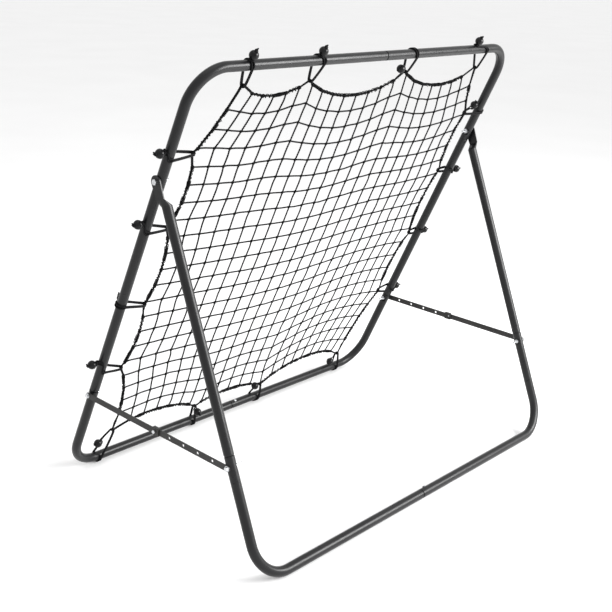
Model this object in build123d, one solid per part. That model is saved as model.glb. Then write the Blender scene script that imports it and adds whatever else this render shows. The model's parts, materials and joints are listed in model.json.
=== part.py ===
from build123d import *
from math import asin, atan, cos, degrees, radians, sin, sqrt
import os

# Folding rebounder: a square steel-tube frame holds a net on sixteen elastic ball loops.
# A U-shaped leg frame pivots on the side tubes, and a two-bar strut on each side sets the angle.
# World axes: +Z up, -Y the playing side, +X the right-hand side seen from the playing side.
# The origin is on the ground, midway between the two tubes that stand on it, fully opened.
# Net frame and leg frame are drawn upright, each with the pivot axis as its origin, and then
# tilted to the open angle. The whole stand then leans back a little on its rear tube, because
# the elastic loops lie between the front tube and the ground.

# ---- driving dimensions, mm ----
TUBE_D = 25.0
WALL = 1.5
FRAME_WIDTH = 1250.0
FRAME_HEIGHT = 1250.0
BEND_R = 90.0
PIVOT_UP = 940.0  # pivot above the bottom tube, along the net
BOLT_DROP = 665.0  # strut bolts below the pivot, along both frames
PLAIN_REACH = 270.0  # plain bar, bolt to lock pin
HOLE_PITCH = 50.0
HOLE_COUNT = 5

# swaged joints between the tubes
NECK_LENGTH = 45.0
NECK_FIT = 0.15
SHOULDER = 3.0
SEAM_GAP = 0.5
TOP_SEAM_X = -28.0
BOTTOM_SEAM_X = 7.0
REAR_SEAM_X = 2.0
SCREW_OFFSET = 18.0
SIDE_SEAM_Z = -26.0
NET_BOLT_SEAM = 14.0  # seam above the front strut bolt
LEG_BOLT_SEAM = 25.0  # seam above the rear strut bolt

# pressed seats under the nuts
SEAT_FLOOR_X = 605.0
SEAT_HALF = 9.5

# flattened top of each leg tube
TONGUE_X = 625.3
TONGUE_T = 3.0
TONGUE_END_R = 15.5
TONGUE_NECK_W = 27.0
TONGUE_FLAT = 42.0
TONGUE_ROUND = 58.0
TONGUE_HOLLOW = 0.85  # share of the flattened length that is hollow

# strut bars, outboard of the frames
BAR_W = 16.0
BAR_T = 2.0
HOLED_BAR_X = 625.3
PLAIN_BAR_X = 627.6
BAR_HOLE_D = 7.0
BAR_TIP = 11.0
CLIP_T = 1.5
CLIP_BACK = 7.0
CLIP_FRONT = 13.0
CLIP_RISE = 1.3  # upper rail above the bars
CLIP_LIP = 3.0

# fasteners
PIVOT_D = 8.0
PIVOT_TIP_X = 583.5
PIVOT_FLATS = 13.0
PIVOT_HEAD_T = 5.0
PIVOT_NUT_T = 6.5
STRUT_BOLT_D = 6.0
STRUT_BOLT_LENGTH = 50.0
STRUT_FLATS = 10.0
STRUT_HEAD_T = 4.0
STRUT_NUT_T = 5.0
TIP_CHAMFER = 0.1  # share of the bolt diameter
WASHER_D = 14.0
WASHER_T = 1.0
SCREW_D = 4.0
SCREW_HEAD_D = 8.5
SCREW_REACH = 6.0
SCREW_HEAD_T = 2.2
REAR_SCREW_HEAD_T = 2.8
SCREW_DOME = 0.6  # share of the head that is rounded
HEX_CORNER_CUT = 0.6
PIN_D = 6.0
PIN_HEAD_D = 9.0
PIN_HEAD_T = 3.0
PIN_DOME = 0.7  # share of the head that is rounded
PIN_TIP_CHAMFER = 0.6
PIN_OVERLAP = 1.0  # tip beyond the holed bar when the pin is home
PIN_WITHDRAWN = 3.0
HINGE_PLAY = 0.075
HOLE_PLAY = 0.15
NUT_FIT = 0.05
FACE_GAP = 0.05
BAR_GAP = 0.3
OPEN_PIVOT_D = 9.0  # rear strut hole, wide enough for the linkage error

# net and its elastic loops
PANEL_T = 2.0
PANEL_INSET = 10.0
ROPE_D = 7.0
CORD_D = 4.0
CORD_GAP = 0.4
CORD_LIFT = 4.8  # height of the front tube above the ground, on its loops
BALL_D = 23.0
BALL_BORE = 6.0
EDGE_SAG = 0.125
CORNER_SAG = 0.05

# Net eyelets along each edge as (x, height above the bottom tube), in order round the net.
EYELETS = {
    "top": [(455, 1175), (228, 1173), (-146, 1175), (-480, 1169)],
    "left": [(-545, 1009), (-556, 802), (-563, 561), (-547, 323)],
    "bottom": [(-476, 60), (-102, 49), (179, 60), (496, 90)],
    "right": [(546, 345), (537, 557), (546, 796), (542, 1005)],
}
# Where each loop goes round its tube: x on the top and bottom, height on the sides.
WRAPS = {
    "top": [440, 207, -149, -491],
    "left": [987, 803, 569, 317],
    "bottom": [-514, -115, 157, 510],
    "right": [370, 595, 815, 1010],
}
# Ball centres as (x, height, distance behind the net).
BALLS = {
    "top": [(460, 1253, 6), (228, 1252.5, 6), (-121, 1182, 0), (-430, 1253, 4)],
    "left": [(-577, 1034, 0), (-657, 794, 0), (-646, 557, 0), (-644, 321, 0)],
    "bottom": [(-455, 31, 0), (-57, 74, 16), (185, 60, 22), (534, 55, 0)],
    "right": [(648, 389, 0), (590, 569, -29), (641, 824, 0), (642, 1017, 0)],
}

# ---- derived dimensions ----
TUBE_R = TUBE_D / 2
BORE_R = TUBE_R - WALL
NECK_R = BORE_R - NECK_FIT
SIDE_X = FRAME_WIDTH / 2 - TUBE_R
TOP_Z = FRAME_HEIGHT - TUBE_D - PIVOT_UP
HOLED_REACH = HOLE_PITCH * HOLE_COUNT
OPEN_SPAN = PLAIN_REACH + HOLED_REACH
HALF_ANGLE = degrees(asin(OPEN_SPAN / 2 / BOLT_DROP))
PIVOT_Z = TUBE_R + PIVOT_UP * cos(radians(HALF_ANGLE))
STRUT_Y = OPEN_SPAN / 2
STRUT_Z = PIVOT_Z - BOLT_DROP * cos(radians(HALF_ANGLE))
PIN_Y = PLAIN_REACH - STRUT_Y
NET_TILT = Pos(0, 0, PIVOT_Z) * Rot(-HALF_ANGLE, 0, 0)
LEG_TILT = Pos(0, 0, PIVOT_Z) * Rot(HALF_ANGLE, 0, 0)
REAR_Y = PIVOT_UP * sin(radians(HALF_ANGLE))
LEAN = degrees(asin(CORD_LIFT / (2 * REAR_Y)))
STAND = Pos(0, REAR_Y, TUBE_R) * Rot(-LEAN, 0, 0) * Pos(0, -REAR_Y, -TUBE_R)
SIDES = {"right": 1, "left": -1}


def save(name, *solids):
    """Write one node, leaning on the rear tube as the whole stand does."""
    placed = [STAND * solid for solid in solids]
    shape = placed[0] if len(placed) == 1 else Compound(children=placed)
    export_step(shape, f"parts/{name}.step")


def along_x(x_from, x_to, radius):
    """Round bar along X."""
    return Pos((x_from + x_to) / 2, 0, 0) * Rot(0, 90, 0) * Cylinder(radius, abs(x_to - x_from))


def mirrored(shape, side):
    return shape if side > 0 else mirror(shape, about=Plane.YZ)


# ---- frame tubes ----
def rod(points, radius):
    """Solid round bar through the points, its corners bent at BEND_R."""
    path = FilletPolyline(*points, radius=BEND_R) if len(points) > 2 else Line(*points)
    section = Plane(path @ 0, z_dir=path % 0) * Circle(radius)
    return sweep(section, path=path)


def swaged_end(start, direction, thinner):
    """Cone and neck beyond start, both smaller in radius by thinner."""
    cone = Pos(0, 0, SHOULDER / 2) * Cone(TUBE_R - thinner, NECK_R - thinner, SHOULDER)
    neck = Pos(0, 0, SHOULDER + NECK_LENGTH / 2) * Cylinder(NECK_R - thinner, NECK_LENGTH)
    return Plane(start, z_dir=direction) * (cone + neck)


def seat_block(side, z, deeper):
    """What a pressed seat takes out of the inner wall at height z, made larger by deeper."""
    start = SIDE_X - TUBE_D
    floor = SEAT_FLOOR_X + deeper
    size = Box(floor - start, 2 * TUBE_D, 2 * (SEAT_HALF + deeper))
    return Pos(side * (start + floor) / 2, 0, z) * size


def tube(side, points, necks=(), seats=(), neck_seats=(), bolts=(), screw_holes=()):
    """Hollow tube: necks as (start, direction), seats as heights, bolts as (height, diameter)."""
    outer = rod(points, TUBE_R)
    bore = rod(points, BORE_R)
    for start, direction in necks:
        outer += swaged_end(start, direction, 0)
        bore += swaged_end(start, direction, WALL)
    for z in seats:
        outer -= seat_block(side, z, 0)
        bore -= seat_block(side, z, WALL)
    for z in neck_seats:
        outer -= seat_block(side, z, WALL + NECK_FIT)
        bore -= seat_block(side, z, 2 * WALL + NECK_FIT)
    shell = outer - bore
    for z, diameter in bolts:
        ends = side * (SIDE_X - TUBE_D), side * (SIDE_X + TUBE_D)
        shell -= Pos(0, 0, z) * along_x(*ends, diameter / 2 + HOLE_PLAY)
    for hole in screw_holes:
        shell -= hole
    return shell


def corner_tube(side, seam_z, level_z, seam_x, bolt_z, bolt_d, screw_at):
    """Bent tube from a side seam to a middle seam, where the right-hand one carries the neck."""
    x_end = seam_x + SEAM_GAP + SHOULDER if side > 0 else seam_x
    points = [(side * SIDE_X, 0, seam_z), (side * SIDE_X, 0, level_z), (x_end, 0, level_z)]
    necks = [((x_end, 0, level_z), (-1, 0, 0))] if side > 0 else []
    screw_hole = screw_at * Pos(0, 0, TUBE_R) * Cylinder(SCREW_D / 2 + HOLE_PLAY, TUBE_R)
    return tube(side, points, necks, [bolt_z], [], [(bolt_z, bolt_d)], [screw_hole])


def side_tube(side):
    """Straight tube between the top and bottom corner tubes, with a neck in each."""
    top = SIDE_SEAM_Z - SEAM_GAP - SHOULDER
    bottom = NET_BOLT_SEAM - BOLT_DROP + SEAM_GAP + SHOULDER
    x = side * SIDE_X
    necks = [((x, 0, top), (0, 0, 1)), ((x, 0, bottom), (0, 0, -1))]
    bolts = [(0, PIVOT_D), (-BOLT_DROP, STRUT_BOLT_D)]
    return tube(side, [(x, 0, top), (x, 0, bottom)], necks, [], [0, -BOLT_DROP], bolts)


def four_arc_circle(x, z, radius):
    """Round section with its joints at 45 degrees, so that it lofts to a slot."""
    d = radius * cos(radians(45))
    corners = [(x + d, d), (x - d, d), (x - d, -d), (x + d, -d)]
    bulges = [(x, radius), (x - radius, 0), (x, -radius), (x + radius, 0)]
    return closed_arcs(corners, bulges, z)


def slot_section(x, z, thickness, width):
    """Flattened section, thin along X, with round edges."""
    t = thickness / 2
    w = width / 2 - t
    corners = [(x + t, w), (x - t, w), (x - t, -w), (x + t, -w)]
    bulges = [(x, w + t), None, (x, -w - t), None]
    return closed_arcs(corners, bulges, z)


def closed_arcs(corners, bulges, z):
    """Face at height z whose edges are arcs through the bulges, or straight without one."""
    edges = []
    for index, bulge in enumerate(bulges):
        start = (*corners[index], z)
        end = (*corners[(index + 1) % len(corners)], z)
        edges.append(ThreePointArc(start, (*bulge, z), end) if bulge else Line(start, end))
    return make_face(edges)


def tongue(side):
    """Flat plate at the pivot and the loft that joins it to the round leg tube."""
    x = side * (TONGUE_X + TONGUE_T / 2)
    root = side * SIDE_X
    eye = Rot(0, 90, 0) * Cylinder(TONGUE_END_R, TONGUE_T)
    half = TONGUE_NECK_W / 2
    end_z = -TONGUE_FLAT
    outline = [(-TONGUE_END_R, 0), (TONGUE_END_R, 0), (half, end_z), (-half, end_z)]
    blade = extrude(Plane.YZ * make_face(Polyline(*outline, close=True)), TONGUE_T / 2, both=True)
    plate = Pos(x, 0, 0) * (eye + blade)
    flat = slot_section(x, end_z, TONGUE_T, TONGUE_NECK_W)
    outer = loft([flat, four_arc_circle(root, -TONGUE_ROUND, TUBE_R)], ruled=True)
    slit_x = root + (x - root) * TONGUE_HOLLOW
    slit_z = -TONGUE_ROUND + (TONGUE_ROUND - TONGUE_FLAT) * TONGUE_HOLLOW
    slit = slot_section(slit_x, slit_z, TONGUE_T, TONGUE_NECK_W - 3 * WALL)
    bore = loft([slit, four_arc_circle(root, -TONGUE_ROUND, BORE_R)], ruled=True)
    hole = along_x(side * (TONGUE_X - TONGUE_T), x + side * 2 * TONGUE_T, PIVOT_D / 2 + HINGE_PLAY)
    return plate + outer - bore - hole


def leg_tube(side):
    bottom = LEG_BOLT_SEAM - BOLT_DROP + SEAM_GAP + SHOULDER
    x = side * SIDE_X
    points = [(x, 0, -TONGUE_ROUND), (x, 0, bottom)]
    necks = [((x, 0, bottom), (0, 0, -1))]
    lower = tube(side, points, necks, [], [-BOLT_DROP], [(-BOLT_DROP, STRUT_BOLT_D)])
    return lower + tongue(side)


def screw_place(seam_x, level_z, up):
    """Axis of a seam screw through the middle of its tube, its head pointing up or down."""
    return Pos(seam_x - SCREW_OFFSET, 0, level_z) * Rot(0 if up else 180, 0, 0)


def frame_tubes():
    top_screw = screw_place(TOP_SEAM_X, TOP_Z, False)
    bottom_screw = screw_place(BOTTOM_SEAM_X, -PIVOT_UP, True)
    rear_screw = screw_place(REAR_SEAM_X, -PIVOT_UP, True)
    net_seam = NET_BOLT_SEAM - BOLT_DROP
    leg_seam = LEG_BOLT_SEAM - BOLT_DROP
    for name, side in SIDES.items():
        top = corner_tube(side, SIDE_SEAM_Z, TOP_Z, TOP_SEAM_X, 0, PIVOT_D, top_screw)
        bottom = corner_tube(
            side, net_seam, -PIVOT_UP, BOTTOM_SEAM_X, -BOLT_DROP, STRUT_BOLT_D, bottom_screw
        )
        rear = corner_tube(
            side, leg_seam, -PIVOT_UP, REAR_SEAM_X, -BOLT_DROP, STRUT_BOLT_D, rear_screw
        )
        save(f"top_corner_tube_{name}", NET_TILT * top)
        save(f"side_tube_{name}", NET_TILT * side_tube(side))
        save(f"bottom_corner_tube_{name}", NET_TILT * bottom)
        save(f"leg_tube_{name}", LEG_TILT * leg_tube(side))
        save(f"rear_corner_tube_{name}", LEG_TILT * rear)
    save("top_seam_screw", NET_TILT * top_screw * seam_screw(SCREW_HEAD_T))
    save("bottom_seam_screw", NET_TILT * bottom_screw * seam_screw(SCREW_HEAD_T))
    save("rear_seam_screw", LEG_TILT * rear_screw * seam_screw(REAR_SCREW_HEAD_T))


# ---- fasteners ----
def seam_screw(head_t):
    """Pan-head screw whose head stands on the tube at TUBE_R."""
    head = Pos(0, 0, TUBE_R + head_t / 2) * Cylinder(SCREW_HEAD_D / 2, head_t)
    head = fillet(head.edges().sort_by(Axis.Z)[-1], head_t * SCREW_DOME)
    shank = Pos(0, 0, TUBE_R - SCREW_REACH / 2) * Cylinder(SCREW_D / 2, SCREW_REACH)
    return head + shank


def hex_prism(x_from, x_to, across_flats):
    """Hexagon along X with its outer corners chamfered."""
    height = abs(x_to - x_from)
    blank = extrude(RegularPolygon(across_flats / 2, 6, major_radius=False), height)
    radius = across_flats / 2 / cos(radians(30))
    cap = Cone(radius + height - HEX_CORNER_CUT, radius - HEX_CORNER_CUT, height)
    turn = 90 if x_to > x_from else -90
    return Pos(x_from, 0, 0) * Rot(0, turn, 0) * (blank & Pos(0, 0, height / 2) * cap)


def bolt(side, diameter, head_x, head_t, across_flats, tip_x, washer_t):
    """Hexagon bolt from outside, and the washer under its head when washer_t isn't 0."""
    head = hex_prism(side * head_x, side * (head_x + head_t), across_flats)
    shank = along_x(side * tip_x, side * (head_x + head_t / 2), diameter / 2)
    tip = shank.edges().filter_by(GeomType.CIRCLE).sort_by(Axis.X)
    shank = chamfer(tip[0] if side > 0 else tip[-1], diameter * TIP_CHAMFER)
    pieces = [head + shank]
    if washer_t:
        pieces.append(washer(side, head_x - washer_t, head_x, diameter))
    return pieces


def washer(side, x_from, x_to, diameter):
    ends = side * x_from, side * x_to
    return along_x(*ends, WASHER_D / 2) - along_x(*ends, diameter / 2 + HOLE_PLAY)


def nut(side, diameter, across_flats, height):
    """Nut on a pressed seat."""
    outer_x = side * SEAT_FLOOR_X
    blank = hex_prism(outer_x, outer_x - side * height, across_flats)
    return blank - along_x(outer_x, outer_x - side * height, diameter / 2 + NUT_FIT)


def pivot_fasteners():
    for name, side in SIDES.items():
        head_x = TONGUE_X + TONGUE_T + FACE_GAP
        (pivot,) = bolt(side, PIVOT_D, head_x, PIVOT_HEAD_T, PIVOT_FLATS, PIVOT_TIP_X, 0)
        save(f"pivot_bolt_{name}", NET_TILT * pivot)
        save(f"pivot_nut_{name}", NET_TILT * nut(side, PIVOT_D, PIVOT_FLATS, PIVOT_NUT_T))


def strut_fasteners():
    """A plain bar needs a spacer behind it, because it runs outboard of the holed bar."""
    frames = {"front": (NET_TILT, {1: True, -1: False}), "rear": (LEG_TILT, {1: False, -1: True})}
    for frame, (tilt, holds_plain_bar) in frames.items():
        place = tilt * Pos(0, 0, -BOLT_DROP)
        for name, side in SIDES.items():
            bar_x = PLAIN_BAR_X if holds_plain_bar[side] else HOLED_BAR_X
            head_x = bar_x + BAR_T + FACE_GAP + WASHER_T
            tip_x = head_x - STRUT_BOLT_LENGTH
            pieces = bolt(side, STRUT_BOLT_D, head_x, STRUT_HEAD_T, STRUT_FLATS, tip_x, WASHER_T)
            if holds_plain_bar[side]:
                start = SIDE_X + TUBE_R + FACE_GAP
                pieces.append(washer(side, start, PLAIN_BAR_X - FACE_GAP, STRUT_BOLT_D))
            save(f"{frame}_strut_bolt_{name}", *[place * piece for piece in pieces])
            strut_nut = nut(side, STRUT_BOLT_D, STRUT_FLATS, STRUT_NUT_T)
            save(f"{frame}_strut_nut_{name}", place * strut_nut)


# ---- struts ----
def flat_bar(side, x, y_bolt, y_end, end_round, holes):
    """Flat bar along Y from a round bolt end, with holes as (y, diameter)."""
    radius = BAR_W / 2
    middle = x + BAR_T / 2
    bar = Pos(middle, (y_bolt + y_end) / 2, 0) * Box(BAR_T, abs(y_end - y_bolt), BAR_W)
    disc = Rot(0, 90, 0) * Cylinder(radius, BAR_T)
    bar += Pos(middle, y_bolt, 0) * disc
    if end_round:
        bar += Pos(middle, y_end, 0) * disc
    for y, diameter in holes:
        bar -= Pos(0, y, 0) * along_x(x - BAR_T, x + 2 * BAR_T, diameter / 2)
    return Pos(0, 0, STRUT_Z) * mirrored(bar, side)


def bar_clip(side):
    """Channel at the end of the plain bar that guides the holed bar, open away from its web."""
    web_x = PLAIN_BAR_X + BAR_T
    back_x = HOLED_BAR_X - BAR_GAP
    half = BAR_W / 2
    rails = [(half + CLIP_RISE, 1), (half + BAR_GAP, -1)]
    length = CLIP_BACK + CLIP_FRONT
    top = rails[0][0] + CLIP_T
    bottom = -rails[1][0] - CLIP_T
    web = Pos(web_x + CLIP_T / 2, 0, (top + bottom) / 2) * Box(CLIP_T, length, top - bottom)
    depth = web_x + CLIP_T - (back_x - CLIP_T)
    lip = CLIP_LIP + CLIP_T
    for height, sign in rails:
        z = sign * (height + CLIP_T / 2)
        web += Pos(web_x + CLIP_T - depth / 2, 0, z) * Box(depth, length, CLIP_T)
        z = sign * (height + CLIP_T - lip / 2)
        web += Pos(back_x - CLIP_T / 2, 0, z) * Box(CLIP_T, length, lip)
    web -= Pos(0, -side * (CLIP_FRONT - CLIP_BACK) / 2, 0) * along_x(
        web_x - CLIP_T, web_x + 2 * CLIP_T, PIN_D / 2 + HINGE_PLAY
    )
    centre = PIN_Y + (CLIP_FRONT - CLIP_BACK) / 2
    return Pos(0, side * centre, STRUT_Z) * mirrored(web, side)


def lock_pin(side, y):
    """Pin drawn out of the holed bar by PIN_WITHDRAWN, still held by the clip and plain bar."""
    head_x = PLAIN_BAR_X + BAR_T + CLIP_T + FACE_GAP + PIN_WITHDRAWN
    tip_x = HOLED_BAR_X - PIN_OVERLAP + PIN_WITHDRAWN
    head = along_x(head_x, head_x + PIN_HEAD_T, PIN_HEAD_D / 2)
    rim = head.edges().filter_by(GeomType.CIRCLE).sort_by(Axis.X)[-1]
    head = fillet(rim, PIN_HEAD_T * PIN_DOME)
    shank = along_x(tip_x, head_x, PIN_D / 2)
    tip = shank.edges().filter_by(GeomType.CIRCLE).sort_by(Axis.X)[0]
    shank = chamfer(tip, PIN_TIP_CHAMFER)
    return Pos(0, y, STRUT_Z) * mirrored(head + shank, side)


def struts():
    """The right strut has its plain bar on the net frame, and the left strut on the leg frame."""
    pivot_hole = STRUT_BOLT_D + 2 * HINGE_PLAY
    pin_hole = PIN_D + 2 * HINGE_PLAY
    for name, side in SIDES.items():
        pin_y = side * PIN_Y
        y_plain, y_holed = -side * STRUT_Y, side * STRUT_Y
        plain_end = pin_y + side * CLIP_FRONT
        plain_pivot = pivot_hole if side > 0 else OPEN_PIVOT_D
        holed_pivot = OPEN_PIVOT_D if side > 0 else pivot_hole
        plain_holes = [(y_plain, plain_pivot), (pin_y, pin_hole)]
        holed_holes = [(y_holed, holed_pivot)]
        holed_holes += [(y_holed - side * HOLE_PITCH * (i + 1), BAR_HOLE_D) for i in range(HOLE_COUNT)]
        holed_end = pin_y - side * (BAR_TIP - BAR_W / 2)
        plain = flat_bar(side, PLAIN_BAR_X, y_plain, plain_end, False, plain_holes)
        holed = flat_bar(side, HOLED_BAR_X, y_holed, holed_end, True, holed_holes)
        save(f"plain_bar_{name}", plain)
        save(f"holed_bar_{name}", holed)
        save(f"bar_clip_{name}", bar_clip(side))
        save(f"lock_pin_{name}", lock_pin(side, pin_y))


# ---- net, elastic loops and balls, in the net frame ----
# They are drawn flat in XY, x against height above the bottom tube, with -Z behind the net.
FLAT_TO_NET = Pos(0, 0, -PIVOT_UP) * Rot(90, 0, 0)
CORD_REACH = (ROPE_D + CORD_D) / 2 + CORD_GAP


def net_spans():
    """Border arcs as (start, middle, end, angle between chord and tangent)."""
    corners = [(Vector(*point), edge) for edge, row in EYELETS.items() for point in row]
    spans = []
    for index, (start, edge) in enumerate(corners):
        end, next_edge = corners[(index + 1) % len(corners)]
        sag = EDGE_SAG if edge == next_edge else CORNER_SAG
        chord = end - start
        inward = Vector(-chord.Y, chord.X)
        spans.append((start, (start + end) / 2 + inward * sag, end, 2 * degrees(atan(2 * sag))))
    return spans


def eyelet_bisectors(spans):
    """Inward bisector of the border at the start of each span, and the sine of its half angle."""
    found = []
    for index, (start, _, end, lean) in enumerate(spans):
        before, _, _, lean_before = spans[index - 1]
        ahead = (end - start).normalized().rotate(Axis.Z, lean)
        back = (before - start).normalized().rotate(Axis.Z, -lean_before)
        found.append(((ahead + back).normalized(), sqrt((1 - ahead.dot(back)) / 2)))
    return found


def net_panel(spans, bisectors):
    """Flat sheet inside the border rope, clear of the loops."""
    corners = []
    middles = []
    for (start, middle, end, _), (bisector, sine) in zip(spans, bisectors):
        corners.append(start + bisector * (PANEL_INSET / sine))
        inward = Vector(start.Y - end.Y, end.X - start.X).normalized()
        middles.append(middle + inward * PANEL_INSET)
    ends = corners[1:] + corners[:1]
    arcs = [ThreePointArc(a, m, b) for a, m, b in zip(corners, middles, ends)]
    return extrude(make_face(arcs), PANEL_T / 2, both=True)


def border_rope(spans):
    rope = Part()
    for start, middle, end, _ in spans:
        arc = ThreePointArc(start, middle, end)
        rope += sweep(Plane(arc @ 0, z_dir=arc % 0) * Circle(ROPE_D / 2), path=arc)
        rope += Pos(*start) * Sphere(ROPE_D / 2)
    return rope


def elastic_loop(wrap, inner_end, tube_direction):
    """Closed cord round a tube at wrap, reaching to inner_end inside the border rope."""
    reach = inner_end - wrap
    along = reach.normalized()
    across = along.cross(tube_direction).length
    big = (TUBE_R + CORD_D / 2 + CORD_GAP) / across
    small = CORD_REACH
    far = reach.length - small
    slope = asin((big - small) / far)
    lean, rise = sin(slope), cos(slope)
    a, b = (big * lean, big * rise), (far + small * lean, small * rise)
    c, d = (b[0], -b[1]), (a[0], -a[1])
    plane = Plane(wrap, x_dir=along, z_dir=along.cross(Vector(0, 0, 1)))
    runs = [Line(a, b), ThreePointArc(b, (far + small, 0), c)]
    runs += [Line(c, d), ThreePointArc(d, (-big, 0), a)]
    path = plane * Wire(Curve(children=runs).edges())
    return sweep(Plane(path @ 0, z_dir=path % 0) * Circle(CORD_D / 2), path=path)


def ball(place, bore_direction):
    bore = Plane((0, 0, 0), z_dir=bore_direction) * Cylinder(BALL_BORE / 2, 2 * BALL_D)
    x, height, behind = place
    return Pos(x, height, -behind) * (Sphere(BALL_D / 2) - bore)


def net_and_loops():
    spans = net_spans()
    bisectors = eyelet_bisectors(spans)
    save("net_panel", NET_TILT * FLAT_TO_NET * net_panel(spans, bisectors))
    save("net_border_rope", NET_TILT * FLAT_TO_NET * border_rope(spans))
    tube_line = {"top": FRAME_HEIGHT - TUBE_D, "bottom": 0.0, "left": -SIDE_X, "right": SIDE_X}
    rows = zip(spans, bisectors)
    for edge, places in WRAPS.items():
        level = edge in ("top", "bottom")
        tube_direction = Vector(1, 0, 0) if level else Vector(0, 1, 0)
        for number, place in enumerate(places, 1):
            (eyelet, *_), (bisector, sine) = next(rows)
            line = tube_line[edge]
            wrap = Vector(place, line) if level else Vector(line, place)
            loop = elastic_loop(wrap, eyelet + bisector * (CORD_REACH / sine), tube_direction)
            save(f"{edge}_loop_{number}", NET_TILT * FLAT_TO_NET * loop)
        bore_direction = (0, 1, 0) if level else (1, 0, 0)
        balls = [NET_TILT * FLAT_TO_NET * ball(place, bore_direction) for place in BALLS[edge]]
        save(f"{edge}_balls", *balls)


os.makedirs("parts", exist_ok=True)
frame_tubes()
pivot_fasteners()
strut_fasteners()
struts()
net_and_loops()
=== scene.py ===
import json
from math import acos, asin, atan2, cos, pi, radians, sin, sqrt, tau

import bpy
import numpy as np
from mathutils import Matrix, Vector


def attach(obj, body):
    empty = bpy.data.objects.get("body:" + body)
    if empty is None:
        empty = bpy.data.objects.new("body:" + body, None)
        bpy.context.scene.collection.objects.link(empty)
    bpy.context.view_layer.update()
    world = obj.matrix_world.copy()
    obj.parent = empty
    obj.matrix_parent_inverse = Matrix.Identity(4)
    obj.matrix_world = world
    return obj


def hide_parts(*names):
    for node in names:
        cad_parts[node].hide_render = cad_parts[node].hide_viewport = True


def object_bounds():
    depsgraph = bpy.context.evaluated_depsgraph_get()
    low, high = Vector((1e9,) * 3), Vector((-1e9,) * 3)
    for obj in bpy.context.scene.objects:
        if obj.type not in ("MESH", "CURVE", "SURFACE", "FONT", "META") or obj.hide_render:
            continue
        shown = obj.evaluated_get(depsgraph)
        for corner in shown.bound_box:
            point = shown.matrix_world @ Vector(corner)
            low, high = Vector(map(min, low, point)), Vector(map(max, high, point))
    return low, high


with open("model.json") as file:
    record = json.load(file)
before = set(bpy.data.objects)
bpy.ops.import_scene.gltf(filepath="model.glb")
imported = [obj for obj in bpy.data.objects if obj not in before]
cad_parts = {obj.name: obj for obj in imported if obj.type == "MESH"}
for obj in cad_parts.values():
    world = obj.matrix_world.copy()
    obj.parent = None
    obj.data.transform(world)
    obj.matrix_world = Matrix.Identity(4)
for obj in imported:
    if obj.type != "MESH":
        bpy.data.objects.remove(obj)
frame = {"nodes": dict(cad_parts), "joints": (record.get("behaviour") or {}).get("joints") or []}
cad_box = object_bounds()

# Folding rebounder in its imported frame, in metres. The tubes, bars and fasteners are the CAD
# nodes with finished paint and plating. The net, its border rope, the elastic loops and the
# balls are built here. Net places are (x, height above the bottom tube, distance behind the net).

SEED = 7

# ---- tubes and net frame ----
PIVOT_UP = 0.940
TUBE_R = 0.0125
SIDE_X = 0.6125
TOP_TUBE = 1.225
TUBE_LINE = {"top": TOP_TUBE, "left": -SIDE_X, "bottom": 0.0, "right": SIDE_X}

# ---- net ----
CELLS = 21
MESH = 0.048  # knot to knot, in the slack net
BORDER_PULL = 6.7  # pull of the border rope, against 1 for a twine
CORNER_PULL = 0.8
TWINE_WEIGHT = 0.00049
STIFFENING = 1.5
SLACKEST, TIGHTEST = 0.5, 3.0
TENSION_ROUNDS = 4
CORNERS = {(0, 0): (0.455, 1.175), (CELLS, 0): (-0.480, 1.169)}
CORNERS |= {(CELLS, CELLS): (-0.476, 0.060), (0, CELLS): (0.496, 0.090)}
# Eyelets between the corners as (x, height, cells from the first corner of that edge).
EYELETS = {
    "top": [(0.228, 1.173, 5.7), (-0.146, 1.175, 13.8)],
    "left": [(-0.545, 1.009, 2.9), (-0.556, 0.802, 6.8), (-0.563, 0.561, 11.3), (-0.547, 0.323, 15.9)],
    "bottom": [(0.179, 0.060, 6.6), (-0.102, 0.049, 11.95)],
    "right": [(0.542, 1.005, 3.25), (0.546, 0.796, 7.4), (0.537, 0.557, 12.15), (0.546, 0.345, 16.3)],
}
TWINE_R = 0.0021
TWINE_LAY = 0.016
TWINE_LIFT = 0.0009  # rows pass in front of the net's middle and columns behind it
TWINE_WAVE = 0.0005
KNOT_SIZE, KNOT_DEPTH, KNOT_SKEW, KNOT_TWINE_R = 0.0026, 0.0025, 0.0009, 0.00115

# ---- border rope ----
ROPE_STEP = 0.001
ROPE_CORE_R = 0.0024
ROPE_LAY = 0.019
EDGE_TWINE_R = 0.0012
EDGE_TWINE_WANDER = 60  # steps over which the edge twine changes side
LACING_R = 0.00100
LACING_OVERLAP = 4  # steps of lacing beyond the outer mesh twines of a span
TIGHT_LAY, OPEN_LAY, OPEN_LAY_SPREAD = 0.0034, 0.0075, 0.008
BUNCH_LEVEL = 0.62  # lacing bunches up where its noise is above this
HITCH_GAP, HITCH_SKEW = 0.0012, 0.0011
FRAY_COUNT = 260

# ---- elastic loops and balls ----
CORD_R = 0.0020
CORD_ON_TUBE = TUBE_R + CORD_R + 0.0001
CORD_ON_ROPE = 0.0055
STRAND_GAP = 0.0043
BALL_R = 0.0115
BORE_R = 0.0030
NECK = 0.0130  # ball centre to the middle of its neck
NECK_RING = (0.0056, 0.0054, 0.0020)  # half width, half height and lean of the cord round the neck
HUNG_BEHIND = 0.018  # a ball this far behind the net is led round the tube the other way
SPREAD_ON_TUBE = 0.9  # widening of the gap between the strands half-way round the tube
CONTACT_SHARE = 0.35  # how far towards its ball a cord first meets the tube
CROSSING_HASTE = 2.6  # a ball outside the tube has its cord across to the wrap this much sooner
SHORTEST_TURN = radians(20)  # least angle between a neck and where its cord meets the tube
KNOT_TURNS, KNOT_COIL_R, KNOT_RISE = 1.15, 0.0027, 0.0018
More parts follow.
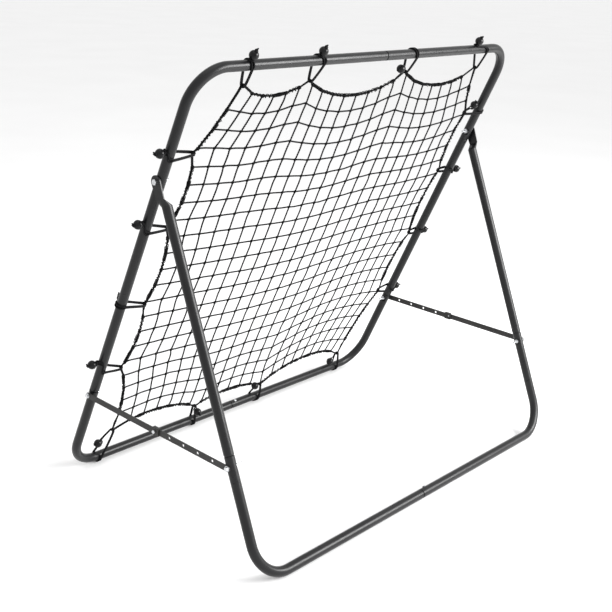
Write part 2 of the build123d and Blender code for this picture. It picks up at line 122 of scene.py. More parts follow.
# Each loop as its eyelet, where it goes round the tube, its ball, and the lean of the knot's tails.
LOOPS = {
    "top": [
        ((0.455, 1.175), 0.459, (0.460, 1.253, 0.006), (-0.8, 0.5, 0.3)),
        ((0.228, 1.173), 0.218, (0.228, 1.2525, 0.006), (-0.8, 0.5, 0.3)),
        ((-0.146, 1.175), -0.149, (-0.121, 1.182, 0), (0.5, 0.8, 0.2)),
        ((-0.480, 1.169), -0.478, (-0.430, 1.253, 0.004), (0.1, 1.0, 0.1)),
    ],
    "left": [
        ((-0.545, 1.009), 1.012, (-0.577, 1.034, 0), (0.2, 0.6, -0.9)),
        ((-0.556, 0.802), 0.803, (-0.657, 0.794, 0), (-0.8, 0.7, 0.2)),
        ((-0.563, 0.561), 0.569, (-0.646, 0.557, 0), (-0.8, 0.7, 0.2)),
        ((-0.547, 0.323), 0.317, (-0.644, 0.321, 0), (-0.9, 0.5, 0.1)),
    ],
    "bottom": [
        ((-0.476, 0.060), -0.492, (-0.455, 0.031, 0), (0.8, 0.8, 0.2)),
        ((-0.102, 0.049), -0.106, (-0.057, 0.074, 0.016), (0.8, 0.8, 0.2)),
        ((0.179, 0.060), 0.162, (0.185, 0.060, 0.022), (0.3, -0.4, 0.7)),
        ((0.496, 0.090), 0.520, (0.534, 0.055, 0), (0.9, 0.5, 0.2)),
    ],
    "right": [
        ((0.546, 0.345), 0.362, (0.648, 0.389, 0), (0.8, 0.7, 0.2)),
        ((0.537, 0.557), 0.579, (0.590, 0.569, -0.029), (0.8, 0.8, -0.2)),
        ((0.546, 0.796), 0.803, (0.641, 0.824, 0), (0.8, 0.7, 0.2)),
        ((0.542, 1.005), 1.004, (0.642, 1.017, 0), (0.9, 0.3, 0.1)),
    ],
}

# ---- camera ----
CAMERA_PLACE = (2.0878, 1.7511, 1.3852)
CAMERA_AZIMUTH, CAMERA_ELEVATION, CAMERA_ROLL = 133.774, 17.2925, 2.268
LENS, SENSOR = 60.654, 36.0
SHIFT = (0.0688, -0.0568)

# ---- studio ----
FLOOR_HALF = 150.0
FLOOR_SHADES = (0.90, 0.92)
SURROUND_LIGHT = 0.98
# Each softbox as its name, place, aim, size and power.
SOFTBOXES = [
    ("key", (-1.95, 2.95, 1.85), (0, 0, 0.7), (2.5, 1.8), 240.0),
    ("top", (0.6, 0.4, 4.2), (0, 0, 0.6), (2.4, 2.4), 14.0),
]


# ---- places in the net frame ----
def joint_place(name):
    """A joint's place in the YZ plane through the middle of the object."""
    (place,) = [joint["pos_m"] for joint in frame["joints"] if joint["name"] == name]
    return np.array([0.0, place[1], place[2]])


PIVOT = joint_place("leg_fold")
RISE = PIVOT - joint_place("strut_pivot_right")
UP = RISE / np.linalg.norm(RISE)
BEHIND = np.array([0.0, UP[2], -UP[1]])
NET_AXES = np.array([[1.0, 0.0, 0.0], UP, BEHIND])
NET_FOOT = PIVOT - UP * PIVOT_UP


def to_world(places):
    return np.asarray(places, float) @ NET_AXES + NET_FOOT


# ---- swept strands ----
def unit(vectors):
    vectors = np.asarray(vectors, float)
    return vectors / np.maximum(np.linalg.norm(vectors, axis=-1, keepdims=True), 1e-12)


def smooth(points, step, closed=False):
    """Centripetal Catmull-Rom curve through the points, resampled at even steps."""
    points = np.asarray(points, float)
    if closed:
        knots = np.vstack([points[-1], points, points[0], points[1]])
    else:
        first, last = 2 * points[0] - points[1], 2 * points[-1] - points[-2]
        knots = np.vstack([first, points, last])
    dense = []
    for p0, p1, p2, p3 in zip(knots, knots[1:], knots[2:], knots[3:]):
        t1 = sqrt(np.linalg.norm(p1 - p0)) + 1e-9
        t2 = t1 + sqrt(np.linalg.norm(p2 - p1)) + 1e-9
        t3 = t2 + sqrt(np.linalg.norm(p3 - p2)) + 1e-9
        count = max(4, int(np.linalg.norm(p2 - p1) / step * 4))
        t = np.linspace(t1, t2, count, endpoint=False)[:, None]
        a1 = p0 * (t1 - t) / t1 + p1 * t / t1
        a2 = p1 * (t2 - t) / (t2 - t1) + p2 * (t - t1) / (t2 - t1)
        a3 = p2 * (t3 - t) / (t3 - t2) + p3 * (t - t2) / (t3 - t2)
        b1 = a1 * (t2 - t) / t2 + a2 * t / t2
        b2 = a2 * (t3 - t) / (t3 - t1) + a3 * (t - t1) / (t3 - t1)
        dense.append(b1 * (t2 - t) / (t2 - t1) + b2 * (t - t1) / (t2 - t1))
    dense.append(knots[-2][None] if not closed else points[:1])
    return resample(np.vstack(dense), step, closed)


def resample(points, step, closed=False):
    """Even steps along a polyline. A closed one starts and ends on the same point."""
    along = run_length(points)
    count = max(3, int(round(along[-1] / step)) + 1)
    wanted = np.linspace(0, along[-1], count)
    found = np.stack([np.interp(wanted, along, points[:, k]) for k in range(3)], 1)
    return found[:-1] if closed else found


def run_length(points):
    steps = np.linalg.norm(np.diff(points, axis=0), axis=1)
    return np.concatenate([[0.0], np.cumsum(steps)])


def tangents(path, closed=False):
    if closed:
        return unit(np.roll(path, -1, 0) - np.roll(path, 1, 0))
    return unit(np.gradient(path, axis=0))


def side_vectors(path, closed=False):
    """Two vectors across the path at each point, carried along it without twist."""
    ahead = tangents(path, closed)
    guess = BEHIND if abs(ahead[0] @ BEHIND) < 0.9 else UP
    side = guess - ahead[0] * (guess @ ahead[0])
    sides = []
    for tangent in ahead:
        side = side - tangent * (side @ tangent)
        side = side / sqrt(side @ side)
        sides.append(side)
    sides = np.array(sides)
    return sides, np.cross(ahead, sides)


class Strands:
    """Closed tubes swept along paths and gathered into one mesh."""

    def __init__(self):
        self.points = []
        self.faces = []
        self.count = 0

    def add_rings(self, rings, closed=False):
        """Skin rings of points, an array (ring, point, 3), and cap the ends."""
        ring_count, sides, _ = rings.shape
        index = np.arange(ring_count * sides).reshape(ring_count, sides) + self.count
        a = index if closed else index[:-1]
        b = np.roll(index, -1, 0) if closed else index[1:]
        quads = np.stack([a, np.roll(a, -1, 1), np.roll(b, -1, 1), b], -1)
        self.faces += quads.reshape(-1, 4).tolist()
        self.points.append(rings.reshape(-1, 3))
        self.count += ring_count * sides
        if not closed:
            self.faces.append(index[0][::-1].tolist())
            self.faces.append(index[-1].tolist())

    def add(self, path, radius, sides, closed=False, lobes=0, depth=0.0, lay=1.0, phase=0.0):
        """Sweep a round or lobed section that turns once in each lay."""
        across, over = side_vectors(path, closed)
        whole = np.vstack([path, path[:1]]) if closed else path
        along = run_length(whole)
        turns = along[-1] / lay
        if closed:
            turns = round(turns * max(lobes, 1)) / max(lobes, 1)
        twist = phase + tau * turns * along[: len(path)] / along[-1] if lobes else np.zeros(len(path))
        angle = tau * np.arange(sides) / sides
        shape = 1 + depth * np.cos(lobes * angle) if lobes else np.ones(sides)
        reach = np.broadcast_to(np.asarray(radius, float), (len(path),))[:, None] * shape
        turned = angle[None] + twist[:, None]
        rings = (
            path[:, None]
            + (reach * np.cos(turned))[..., None] * across[:, None]
            + (reach * np.sin(turned))[..., None] * over[:, None]
        )
        self.add_rings(rings, closed)

    def add_round_end(self, path, radius, sides):
        """Sweep a cord whose last end is rounded off."""
        ends = np.array([0.0, 0.35, 0.7, 0.93]) * radius
        tip = path[-1] + unit(path[-1] - path[-2]) * ends[:, None]
        radii = np.concatenate([np.full(len(path) - 1, radius), sqrt_profile(ends / radius) * radius])
        self.add(np.vstack([path[:-1], tip]), radii, sides)

    def build(self, name, material, slot, nodes, body="net_frame"):
        mesh = bpy.data.meshes.new(name)
        mesh.from_pydata(np.vstack(self.points).tolist(), [], self.faces)
        mesh.materials.append(material)
        mesh.shade_smooth()
        piece = bpy.data.objects.new(name, mesh)
        bpy.context.scene.collection.objects.link(piece)
        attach(piece, body)
        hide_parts(*nodes)
        return piece


def sqrt_profile(share):
    return np.sqrt(np.maximum(1 - share * share, 0.0))


# ---- materials ----
def material_nodes(name):
    material = bpy.data.materials.new(name)
    material.use_nodes = True
    nodes, links = material.node_tree.nodes, material.node_tree.links
    shader = nodes["Principled BSDF"]
    place = nodes.new("ShaderNodeTexCoord")
    return material, nodes, links, shader, place.outputs["Object"]


def noise(nodes, links, place, scale, detail=3.0, stretch=None):
    texture = nodes.new("ShaderNodeTexNoise")
    texture.inputs["Scale"].default_value = scale
    texture.inputs["Detail"].default_value = detail
    if stretch:
        mapping = nodes.new("ShaderNodeMapping")
        mapping.inputs["Scale"].default_value = stretch
        links.new(place, mapping.inputs["Vector"])
        place = mapping.outputs["Vector"]
    links.new(place, texture.inputs["Vector"])
    return texture.outputs["Fac"]


def ramp(nodes, links, value, stops):
    """Colour ramp through (position, colour) stops."""
    node = nodes.new("ShaderNodeValToRGB")
    elements = node.color_ramp.elements
    while len(elements) < len(stops):
        elements.new(0.5)
    for element, (position, colour) in zip(elements, stops):
        element.position = position
        element.color = (*colour, 1.0)
    links.new(value, node.inputs["Fac"])
    return node.outputs["Color"]


def spread(nodes, links, value, low, high):
    """Map noise from about 0.3..0.7 to low..high."""
    node = nodes.new("ShaderNodeMapRange")
    node.inputs["From Min"].default_value = 0.3
    node.inputs["From Max"].default_value = 0.7
    node.inputs["To Min"].default_value = low
    node.inputs["To Max"].default_value = high
    links.new(value, node.inputs["Value"])
    return node.outputs["Result"]


def bump(nodes, links, height, distance, strength, under=None):
    node = nodes.new("ShaderNodeBump")
    node.inputs["Distance"].default_value = distance
    node.inputs["Strength"].default_value = strength
    links.new(height, node.inputs["Height"])
    if under is not None:
        links.new(under, node.inputs["Normal"])
    return node.outputs["Normal"]


def paint(name, dark, light, roughness):
    """Satin powder coat: orange peel, a fine grain and slow changes of shade."""
    material, nodes, links, shader, place = material_nodes(name)
    shade = noise(nodes, links, place, 9.0, 4.0)
    links.new(ramp(nodes, links, shade, [(0.35, dark), (0.65, light)]), shader.inputs["Base Color"])
    rub = noise(nodes, links, place, 35.0, 6.0)
    links.new(spread(nodes, links, rub, *roughness), shader.inputs["Roughness"])
    peel = bump(nodes, links, noise(nodes, links, place, 420.0, 2.0), 0.0004, 0.30)
    grain = noise(nodes, links, place, 2600.0, 2.0)
    links.new(bump(nodes, links, grain, 0.0001, 0.25, peel), shader.inputs["Normal"])
    shader.inputs["Specular IOR Level"].default_value = 0.27
    return material


def plating(name, dark, light, roughness):
    """Bright zinc with the faint cloudiness and scratches of barrel plating."""
    material, nodes, links, shader, place = material_nodes(name)
    cloud = noise(nodes, links, place, 260.0, 5.0)
    links.new(ramp(nodes, links, cloud, [(0.3, dark), (0.7, light)]), shader.inputs["Base Color"])
    links.new(spread(nodes, links, cloud, *roughness), shader.inputs["Roughness"])
    scratch = noise(nodes, links, place, 900.0, 3.0, (1.0, 0.15, 1.0))
    links.new(bump(nodes, links, scratch, 0.0001, 0.25), shader.inputs["Normal"])
    shader.inputs["Metallic"].default_value = 1.0
    return material


def fibre(name, dark, light, grain, roughness):
    """Spun or braided yarn: broken-up fibres with a dusty bloom."""
    material, nodes, links, shader, place = material_nodes(name)
    yarn = noise(nodes, links, place, grain, 5.0)
    links.new(ramp(nodes, links, yarn, [(0.35, dark), (0.7, light)]), shader.inputs["Base Color"])
    links.new(spread(nodes, links, yarn, *roughness), shader.inputs["Roughness"])
    links.new(bump(nodes, links, yarn, 0.0004, 0.6), shader.inputs["Normal"])
    shader.inputs["Specular IOR Level"].default_value = 0.1
    return material


def plastic(name, dark, light):
    """Moulded gloss plastic with handling marks."""
    material, nodes, links, shader, place = material_nodes(name)
    tint = noise(nodes, links, place, 120.0, 3.0)
    links.new(ramp(nodes, links, tint, [(0.3, dark), (0.7, light)]), shader.inputs["Base Color"])
    smear = noise(nodes, links, place, 300.0, 5.0)
    links.new(spread(nodes, links, smear, 0.12, 0.22), shader.inputs["Roughness"])
    links.new(bump(nodes, links, smear, 0.0002, 0.12), shader.inputs["Normal"])
    shader.inputs["Specular IOR Level"].default_value = 0.2
    return material


DARK_YARN = ((0.003, 0.003, 0.0035), (0.009, 0.009, 0.0095))
MATERIALS = {
    "tube_paint": paint("tube_paint", (0.008, 0.0082, 0.0088), (0.012, 0.0122, 0.0128), (0.26, 0.36)),
    "bar_paint": paint("bar_paint", (0.022, 0.0215, 0.021), (0.031, 0.030, 0.029), (0.42, 0.54)),
    "zinc_plate": plating("zinc_plate", (0.52, 0.53, 0.55), (0.76, 0.77, 0.78), (0.22, 0.38)),
    "dark_screw": plating("dark_screw", (0.10, 0.10, 0.105), (0.17, 0.17, 0.175), (0.32, 0.48)),
    "net_twine": fibre("net_twine", *DARK_YARN, 1600.0, (0.7, 0.9)),
    "border_rope": fibre("border_rope", *DARK_YARN, 1300.0, (0.7, 0.9)),
    "elastic_cord": fibre(
        "elastic_cord", (0.004, 0.004, 0.0045), (0.011, 0.011, 0.012), 2100.0, (0.55, 0.76)
    ),
    "ball_plastic": plastic("ball_plastic", (0.003, 0.003, 0.0035), (0.006, 0.006, 0.0065)),
}


def finish_cad_nodes():
    for node in frame["nodes"].values():
        for place in node.material_slots:
            place.material = MATERIALS[place.material.name.split(".")[0]]


# ---- net ----
def lattice(i, j):
    return i * (CELLS + 1) + j


def border_node(edge, step):
    """Lattice node number step along an edge, from the edge's first corner."""
    place = {"top": (step, 0), "bottom": (step, CELLS), "left": (CELLS, step), "right": (0, step)}
    return lattice(*place[edge])


def net_ties():
    """Twine and border ties as (node, node, pull), the fixed nodes, and each edge's chain."""
    fixed = {lattice(*node): place for node, place in CORNERS.items()}
    inner = []
    for line in range(1, CELLS):
        for step in range(CELLS):
            inner.append((lattice(step, line), lattice(step + 1, line), 1.0))
            inner.append((lattice(line, step), lattice(line, step + 1), 1.0))
    border, chains = [], {}
    count = (CELLS + 1) ** 2
    for edge, eyelets in EYELETS.items():
        chain = [(float(step), border_node(edge, step)) for step in range(CELLS + 1)]
        for x, height, along in eyelets:
            fixed[count] = (x, height)
            chain.append((along, count))
            count += 1
        chain.sort()
        chains[edge] = chain
        for (t_a, a), (t_b, b) in zip(chain, chain[1:]):
            at_corner = t_a < 0.5 or t_b > CELLS - 0.5
            pull = BORDER_PULL * (CORNER_PULL if at_corner else 1.0)
            border.append((a, b, pull / (t_b - t_a)))
    return inner, border, fixed, chains, count


def relax_net():
    """Rest shape of the net: each knot is where its ties and its weight balance."""
    inner, border, fixed, chains, count = net_ties()
    ends = np.array([(a, b) for a, b, _ in inner + border])
    pull = np.array([q for _, _, q in inner + border])
    is_inner = np.arange(len(pull)) < len(inner)
    free = np.array([k for k in range(count) if k not in fixed])
    held = np.array(sorted(fixed))
    places = np.zeros((count, 3))
    places[held, :2] = [fixed[k] for k in held]
    load = TWINE_WEIGHT * np.array([0.0, -UP[2], UP[1]])
    for turn in range(TENSION_ROUNDS + 1):
        if turn:
            length = np.linalg.norm(places[ends[:, 0]] - places[ends[:, 1]], axis=1)
            tighter = np.clip(pull * (length / MESH) ** STIFFENING, SLACKEST, TIGHTEST)
            pull = np.where(is_inner, tighter, pull)
        stiff = np.zeros((count, count))
        np.add.at(stiff, (ends[:, 0], ends[:, 0]), pull)
        np.add.at(stiff, (ends[:, 1], ends[:, 1]), pull)
        np.add.at(stiff, (ends[:, 0], ends[:, 1]), -pull)
        np.add.at(stiff, (ends[:, 1], ends[:, 0]), -pull)
        right = load - stiff[np.ix_(free, held)] @ places[held]
        places[free] = np.linalg.solve(stiff[np.ix_(free, free)], right)
    return places, chains


def twine_path(knots, rng, lift):
    """A twine through its knots, with a slight slack wave in each mesh."""
    points = [knots[0]]
    for a, b in zip(knots, knots[1:]):
        wave = rng.normal(0, TWINE_WAVE, 3)
        points += [a + (b - a) * 0.35 + wave, a + (b - a) * 0.68 + wave * 0.6, b]
    points = np.array(points)
    points[1:-1, 2] += lift
    return to_world(points)


def make_net(places, rng):
    grid = places[: (CELLS + 1) ** 2].reshape(CELLS + 1, CELLS + 1, 3)
    material = MATERIALS["net_twine"]
    lines = {"net_rows": (grid.transpose(1, 0, 2), -TWINE_LIFT), "net_columns": (grid, TWINE_LIFT)}
    for name, (knots, lift) in lines.items():
        strands = Strands()
        for line in knots[1:-1]:
            path = smooth(twine_path(line, rng, lift), TWINE_LAY / 9)
            strands.add(path, TWINE_R, 6, lobes=3, depth=0.14, lay=TWINE_LAY, phase=rng.uniform(0, tau))
        strands.build(name, material, "net_twine", ["net_panel"])
    make_knots(grid, rng).build("net_knots", material, "net_twine", ["net_panel"])


def make_knots(grid, rng):
    """Two crossed wraps at each crossing of a row and a column."""
    strands = Strands()
    for i in range(1, CELLS):
        for j in range(1, CELLS):
            middle = grid[i, j]
            along = unit(grid[i + 1, j] - grid[i - 1, j])
            down = unit(grid[i, j + 1] - grid[i, j - 1])
            out = np.cross(along, down)
            for way in (1, -1):
                across = unit(along + way * down + rng.normal(0, 0.08, 3))
                turn = np.linspace(0, tau, 13)[:-1]
                size = KNOT_SIZE * rng.uniform(0.92, 1.08)
                ring = (
                    middle
                    + np.cos(turn)[:, None] * across * size
                    + np.sin(turn)[:, None] * out * KNOT_DEPTH
                    + np.sin(turn)[:, None] * unit(along - way * down) * KNOT_SKEW
                )
                strands.add(to_world(ring), KNOT_TWINE_R, 6, closed=True)
    return strands


# ---- border rope ----
def border_path(places, chains):
    """Places in order round the border, and whether each is held or carries a mesh twine."""
    loop, kinds = [], []
    for edge, backwards in (("top", False), ("left", False), ("bottom", True), ("right", True)):
        chain = chains[edge][::-1] if backwards else chains[edge]
        for _, node in chain[:-1]:
            is_corner = node in [lattice(*corner) for corner in CORNERS]
            kinds.append("held" if is_corner or node >= (CELLS + 1) ** 2 else "mesh")
            loop.append(places[node])
    return np.array(loop), kinds


def around(path, across, over, angle, reach):
    """Points at an angle and distance round each point of a path."""
    angle = np.asarray(angle)[:, None]
    reach = np.broadcast_to(np.asarray(reach, float), (len(path),))[:, None]
    return path + (across * np.cos(angle) + over * np.sin(angle)) * reach


def soft_noise(rng, length, spacing):
    """Smooth random values between 0 and 1, one for each step."""
    knots = rng.uniform(0, 1, int(length / spacing) + 3)
    return np.interp(np.arange(length) / spacing, np.arange(len(knots)), knots)


def make_border(places, chains, rng):
    loop, kinds = border_path(places, chains)
    world = to_world(loop)
    ahead = np.roll(world, -1, 0)
    knots = np.stack([world, world * 0.7 + ahead * 0.3, world * 0.3 + ahead * 0.7], 1)
    path = smooth(knots.reshape(-1, 3), ROPE_STEP, closed=True)
    across, over = side_vectors(path, closed=True)
    marks = [int(np.argmin(np.linalg.norm(path - point, axis=1))) for point in world]
    strands = Strands()
    strands.add(path[::2], ROPE_CORE_R, 9, closed=True, lobes=3, depth=0.13, lay=ROPE_LAY)
    beside = tau * soft_noise(rng, len(path), EDGE_TWINE_WANDER)
    last = -EDGE_TWINE_WANDER
    beside[last:] = np.linspace(beside[last], beside[0], EDGE_TWINE_WANDER)
    edge_twine = around(path, across, over, beside, ROPE_CORE_R + 0.0005)[::3]
    strands.add(edge_twine, EDGE_TWINE_R, 6, closed=True, lobes=3, depth=0.12, lay=TWINE_LAY)
    anchors = [k for k, kind in enumerate(kinds) if kind == "held"]
    for first, last in zip(anchors, anchors[1:] + [anchors[0] + len(kinds)]):
        start = marks[(first + 1) % len(kinds)] - LACING_OVERLAP
        end = marks[(last - 1) % len(kinds)] + LACING_OVERLAP
        end += len(path) if end < start else 0
        run = np.arange(start, end) % len(path)
        add_whipping(strands, path[run], across[run], over[run], rng)
    for mark, kind in zip(marks, kinds):
        if kind == "mesh":
            add_hitch(strands, path, across, over, mark, rng)
    add_frays(strands, path, across, over, rng)
    strands.build("border_rope", MATERIALS["border_rope"], "border_rope", ["net_border_rope"])


def add_whipping(strands, path, across, over, rng):
    """Lacing wound round the border, in loose turns with tight bunches here and there."""
    tightness = soft_noise(rng, len(path), 17)
    open_lay = OPEN_LAY + OPEN_LAY_SPREAD * soft_noise(rng, len(path), 40)
    lay = np.where(tightness > BUNCH_LEVEL, TIGHT_LAY, open_lay)
    angle = rng.uniform(0, tau) + np.cumsum(tau * ROPE_STEP / lay)
    reach = ROPE_CORE_R + 0.0007 + 0.0015 * soft_noise(rng, len(path), 11)
    reach[:4] *= np.linspace(0.7, 1, 4)
    reach[-4:] *= np.linspace(1, 0.7, 4)
    index = np.arange(len(path) - 1)
    wound = []
    for share in (0, 0.25, 0.5, 0.75):
        blend_path = path[index] * (1 - share) + path[index + 1] * share
        blend_angle = angle[index] * (1 - share) + angle[index + 1] * share
        wound.append(around(blend_path, across[index], over[index], blend_angle, reach[index]))
    wound = np.stack(wound, 1).reshape(-1, 3)
    strands.add(resample(wound, 0.0013), LACING_R, 5)


def add_hitch(strands, path, across, over, mark, rng):
    """Two turns of a mesh twine where it is hitched to the border."""
    ahead = tangents(path, True)[mark]
    for way in (-1, 1):
        turn = np.linspace(0, tau, 11)[:-1]
        size = rng.uniform(0.0031, 0.0037)
        middle = path[mark] + ahead * way * HITCH_GAP
        ring = (
            middle
            + np.cos(turn)[:, None] * across[mark] * size
            + np.sin(turn)[:, None] * over[mark] * size
            + np.cos(turn + rng.uniform(0, tau))[:, None] * ahead * HITCH_SKEW
        )
        strands.add(ring, EDGE_TWINE_R, 6, closed=True)


def add_frays(strands, path, across, over, rng):
    """Loose fibre ends along the border."""
    for _ in range(FRAY_COUNT):
        mark = int(rng.integers(len(path)))
        angle = rng.uniform(0, tau)
        out = across[mark] * cos(angle) + over[mark] * sin(angle)
        lean = unit(out + rng.normal(0, 0.6, 3))
        length = rng.uniform(0.003, 0.0075)
        root = path[mark] + out * ROPE_CORE_R
        bend = rng.normal(0, 0.0009, 3)
        share = np.array([0.0, 0.35, 0.7, 1.0])[:, None]
        hair = root + lean * length * share + bend * share * share
        strands.add(hair, np.array([0.00035, 0.0003, 0.00022, 0.00008]), 3)


# ---- elastic loops ----
def loop_frame(edge):
    """Axes of one edge in net places: along its tube, inward to the net, and behind."""
    level = edge in ("top", "bottom")
    along = np.array([1.0, 0, 0]) if level else np.array([0, 1.0, 0])
    inward = {"top": (0, -1, 0), "left": (1, 0, 0), "bottom": (0, 1, 0), "right": (-1, 0, 0)}[edge]
    return along, np.array(inward, float), np.array([0, 0, 1.0])


def to_edge(edge, place):
    """A net place as (along the tube, inward from its axis, behind)."""
    along, inward, _ = loop_frame(edge)
    line = np.array(place, float) - np.abs(inward) * TUBE_LINE[edge]
    return np.array([line @ along, line @ inward, place[2]])


def from_edge(edge, points):
    along, inward, behind = loop_frame(edge)
    points = np.asarray(points, float)
    level = np.abs(inward) * TUBE_LINE[edge]
    return points[:, :1] * along + points[:, 1:2] * inward + points[:, 2:3] * behind + level


def arc_points(middle, radius, start, end, spacing=radians(22)):
    """Points (inward, behind) round a circle from one angle to another."""
    count = max(2, int(abs(end - start) / spacing) + 1)
    angle = np.linspace(start, end, count)
    return np.stack([middle[0] + radius * np.cos(angle), middle[1] + radius * np.sin(angle)], 1)


def tube_touch(place, along, side):
    """Where a straight strand from a place meets the cord line round the tube, and its angle."""
    reach = max(np.hypot(place[1], place[2]), CORD_ON_TUBE)
    angle = atan2(place[2], place[1]) - side * max(acos(CORD_ON_TUBE / reach), SHORTEST_TURN)
    return np.array([along, CORD_ON_TUBE * cos(angle), CORD_ON_TUBE * sin(angle)]), angle


def loop_course(edge, eyelet, wrap, ball):
    """Middle line of the doubled cord, from the ball round the tube and the rope to the neck."""
    target = to_edge(edge, (*eyelet, 0.0))
    centre = to_edge(edge, ball)
    slope = acos((CORD_ON_TUBE - CORD_ON_ROPE) / np.linalg.norm(target[1:]))
    outside = abs(atan2(centre[2], centre[1])) > pi / 2
    side = -1 if not outside and centre[2] > HUNG_BEHIND else 1  # face the cord meets first
    if outside:
        facing = unit(-centre * (0, 1, 1))
        neck = centre + facing * NECK
        reach = max(np.hypot(neck[1], neck[2]), CORD_ON_TUBE)
        start = side * pi - side * max(acos(min(CORD_ON_TUBE / reach, 1.0)), SHORTEST_TURN)
        end = side * slope
        at_tube, haste = centre[0], CROSSING_HASTE
    else:
        at_tube, haste = wrap + CONTACT_SHARE * (centre[0] - wrap), 1.0
        strand_end = tube_touch(centre, at_tube, side)[0]
        line = target - strand_end
        share = np.clip((centre - strand_end) @ line / (line @ line), 0.15, 0.9)
        facing = unit(strand_end + line * share - centre)
        neck = centre + facing * NECK
        start = tube_touch(neck, at_tube, side)[1]
        end = side * slope - side * tau
    first = arc_points((0, 0), CORD_ON_TUBE, start, end)
    tube_run = np.linspace(0, 1, len(first))
    along_tube = at_tube + (wrap - at_tube) * np.minimum(tube_run * haste, 1.0)
    tube_part = np.column_stack([along_tube, first])
    turn = arc_points(target[1:], CORD_ON_ROPE, side * slope, -side * slope, radians(40))
    rope_part = np.column_stack([np.full(len(turn), target[0]), turn])
    back_part = np.zeros((0, 3))
    if outside:
        second = arc_points((0, 0), CORD_ON_TUBE, -side * slope, -start)
        spare = np.linspace(0, 1, len(second) + 2)[1:-1, None]
        back_along = target[0] + (centre[0] - target[0]) * (0.35 + 0.65 * spare)
        back_part = np.column_stack([back_along, second])
    return centre, facing, neck, tube_part, rope_part, back_part


def fan_out(part):
    """Share by which the strands' gap widens at each point of a turn round the tube."""
    return 1 + SPREAD_ON_TUBE * np.sin(np.linspace(0.15, pi - 0.15, len(part)))[:, None]


def make_loop(edge, number, eyelet, wrap, ball, tail_way, rng):
    centre, facing, neck, tube_part, rope_part, back_part = loop_course(edge, eyelet, wrap, ball)
    sideways = unit(np.array([1.0, 0, 0]) - facing * facing[0])
    outward = np.cross(facing, sideways)
    outward = outward if outward @ (tube_part[0] - neck) > 0 else -outward
    half = STRAND_GAP / 2
    strand = []
    for way in (1, -1):
        shift = np.array([way * half, 0, 0])
        inside = centre + facing * 0.003 + sideways * way * 0.0014
        mouth = centre + facing * BALL_R + sideways * way * 0.0019
        throat = neck + sideways * way * half
        start = [inside[None], mouth[None], throat[None]]
        over_tube = tube_part + shift * fan_out(tube_part)
        back_over = back_part + shift * fan_out(back_part)
        strand.append(np.vstack([*start, over_tube, rope_part + shift, back_over]))
    ring_angle = np.radians(np.linspace(-58, 238, 9))[:, None]
    ring = (
        neck
        + sideways * np.cos(ring_angle) * NECK_RING[0]
        + outward * np.sin(ring_angle) * NECK_RING[1]
        - facing * np.sin(ring_angle) * NECK_RING[2]
    )
    course = np.vstack([strand[0], ring, strand[1][::-1]])
    path = smooth(to_world(from_edge(edge, course)), 0.0015)
    cord = Strands()
    cord.add(path, CORD_R, 12, lobes=6, depth=0.035, lay=0.016)
    add_tails(cord, edge, centre, facing, tail_way, rng)
    name, node = f"{edge}_elastic_{number}", f"{edge}_loop_{number}"
    cord.build(name, MATERIALS["elastic_cord"], "elastic_cord", [node])
    make_ball(f"{edge}_ball_{number}", edge, centre, facing)


def add_tails(cord, edge, centre, facing, tail_way, rng):
    """The knot that holds both cord ends outside the ball, and the two cut tails."""
    seat = to_world(from_edge(edge, centre[None]))[0]
    axis = unit(to_world(from_edge(edge, (centre - facing)[None]))[0] - seat)
    lean = unit(np.asarray(tail_way, float) @ NET_AXES)
    across = unit(lean - axis * (lean @ axis) + 1e-6)
    over = np.cross(axis, across)
    for way in (1, -1):
        turn = np.linspace(0, tau * KNOT_TURNS, 10)[:, None] * way + (0 if way > 0 else pi)
        rise = np.linspace(BALL_R - 0.001, BALL_R + KNOT_RISE, 10)[:, None]
        coil = seat + axis * rise + (across * np.cos(turn) + over * np.sin(turn)) * KNOT_COIL_R
        length = rng.uniform(0.0028, 0.0045)
        spreading = unit(lean + over * way * 0.35 + axis * 0.2)
        tail = coil[-1] + spreading * length * np.array([[0.4], [1.0]])
        root = seat + axis * (BALL_R - 0.006)
        path = smooth(np.vstack([root[None], coil, tail]), 0.0009)
        cord.add_round_end(path, CORD_R, 8)


def ball_profile():
    """Half section from the bore's far mouth over the outside to the near mouth, with its seam."""
    mouth = asin((BORE_R + 0.0008) / BALL_R)
    sweep = np.linspace(mouth, pi - mouth, 27)
    seam = 0.00018 * np.exp(-(((sweep - pi / 2) / 0.03) ** 2))
    outer = np.stack([(BALL_R + seam) * np.sin(sweep), (BALL_R + seam) * np.cos(sweep)], 1)
    depth = BALL_R * cos(mouth)
    inner = [(BORE_R + 0.0002, -depth + 0.0004), (BORE_R, -depth + 0.0012), (BORE_R, depth - 0.0012)]
    return np.vstack([outer, inner, [(BORE_R + 0.0002, depth - 0.0004)]])


def make_ball(name, edge, centre, facing):
    """Bead turned about its bore."""
    seat = to_world(from_edge(edge, centre[None]))[0]
    axis = unit(to_world(from_edge(edge, (centre + facing)[None]))[0] - seat)
    across = unit(np.cross(axis, UP + 0.01 * BEHIND))
    over = np.cross(axis, across)
    turn = np.linspace(0, tau, 41)[:-1]
    spokes = np.cos(turn)[:, None] * across + np.sin(turn)[:, None] * over
    profile = ball_profile()
    rings = seat + spokes[:, None] * profile[None, :, :1] + profile[None, :, 1:] * axis
    ball = Strands()
    ball.add_rings(rings, closed=True)
    ball.build(name, MATERIALS["ball_plastic"], "ball_plastic", [f"{edge}_balls"])


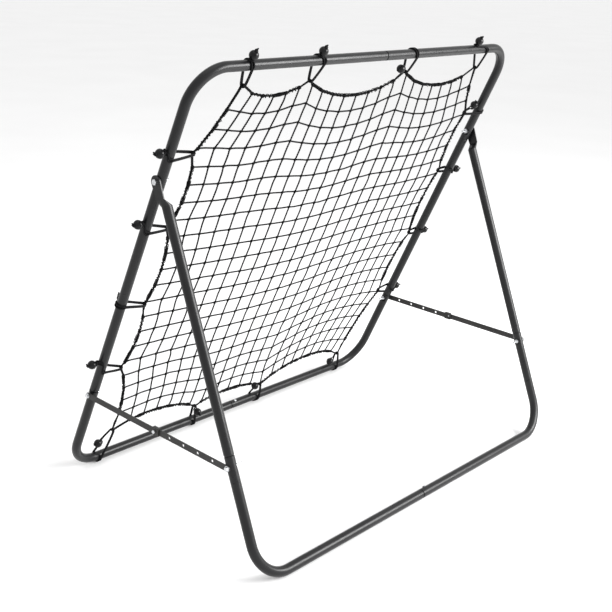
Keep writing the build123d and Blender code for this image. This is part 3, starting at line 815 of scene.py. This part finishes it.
# ---- studio ----
def add_camera():
    azimuth, elevation, roll = map(radians, (CAMERA_AZIMUTH, CAMERA_ELEVATION, CAMERA_ROLL))
    back = np.array([sin(azimuth) * cos(elevation), -cos(azimuth) * cos(elevation), sin(elevation)])
    level = unit(np.cross((0, 0, 1), back))
    upright = np.cross(back, level)
    right = cos(roll) * level + sin(roll) * upright
    up = cos(roll) * upright - sin(roll) * level
    lens = bpy.data.cameras.new("camera")
    lens.lens, lens.sensor_width = LENS, SENSOR
    lens.shift_x, lens.shift_y = SHIFT
    lens.clip_end = 400.0
    camera = bpy.data.objects.new("camera", lens)
    turn = Matrix(np.stack([right, up, back], 1).tolist()).to_4x4()
    camera.matrix_world = Matrix.Translation(CAMERA_PLACE) @ turn
    bpy.context.scene.collection.objects.link(camera)
    bpy.context.scene.camera = camera


def add_softbox(name, place, aim, size, power):
    lamp = bpy.data.lights.new(name, "AREA")
    lamp.shape = "RECTANGLE"
    lamp.size, lamp.size_y = size
    lamp.energy = power
    lamp_object = bpy.data.objects.new(name, lamp)
    lamp_object.rotation_mode = "QUATERNION"
    lamp_object.rotation_quaternion = (Vector(place) - Vector(aim)).to_track_quat("Z", "Y")
    lamp_object.location = place
    bpy.context.scene.collection.objects.link(lamp_object)


def add_studio():
    floor_mesh = bpy.data.meshes.new("floor")
    half = FLOOR_HALF
    corners = [(-half, -half, 0), (half, -half, 0), (half, half, 0), (-half, half, 0)]
    floor_mesh.from_pydata(corners, [], [(0, 1, 2, 3)])
    material, nodes, links, shader, place = material_nodes("studio_floor")
    tint = noise(nodes, links, place, 1.3, 2.0)
    stops = [(0.3, (FLOOR_SHADES[0],) * 3), (0.7, (FLOOR_SHADES[1],) * 3)]
    links.new(ramp(nodes, links, tint, stops), shader.inputs["Base Color"])
    shader.inputs["Roughness"].default_value = 0.9
    shader.inputs["Specular IOR Level"].default_value = 0.1
    floor_mesh.materials.append(material)
    floor = bpy.data.objects.new("studio_floor", floor_mesh)
    floor.location = (0, 0, cad_box[0].z)
    bpy.context.scene.collection.objects.link(floor)
    world = bpy.data.worlds.new("studio")
    bpy.context.scene.world = world
    world.use_nodes = True
    background = world.node_tree.nodes["Background"]
    background.inputs["Color"].default_value = (1.0, 1.0, 1.0, 1.0)
    background.inputs["Strength"].default_value = SURROUND_LIGHT
    for softbox in SOFTBOXES:
        add_softbox(*softbox)
    bpy.context.scene.view_settings.view_transform = "Standard"


rng = np.random.default_rng(SEED)
finish_cad_nodes()
net_places, net_chains = relax_net()
make_net(net_places, rng)
make_border(net_places, net_chains, rng)
for edge_name, rows in LOOPS.items():
    for number, row in enumerate(rows, 1):
        make_loop(edge_name, number, *row, rng)
add_studio()
add_camera()
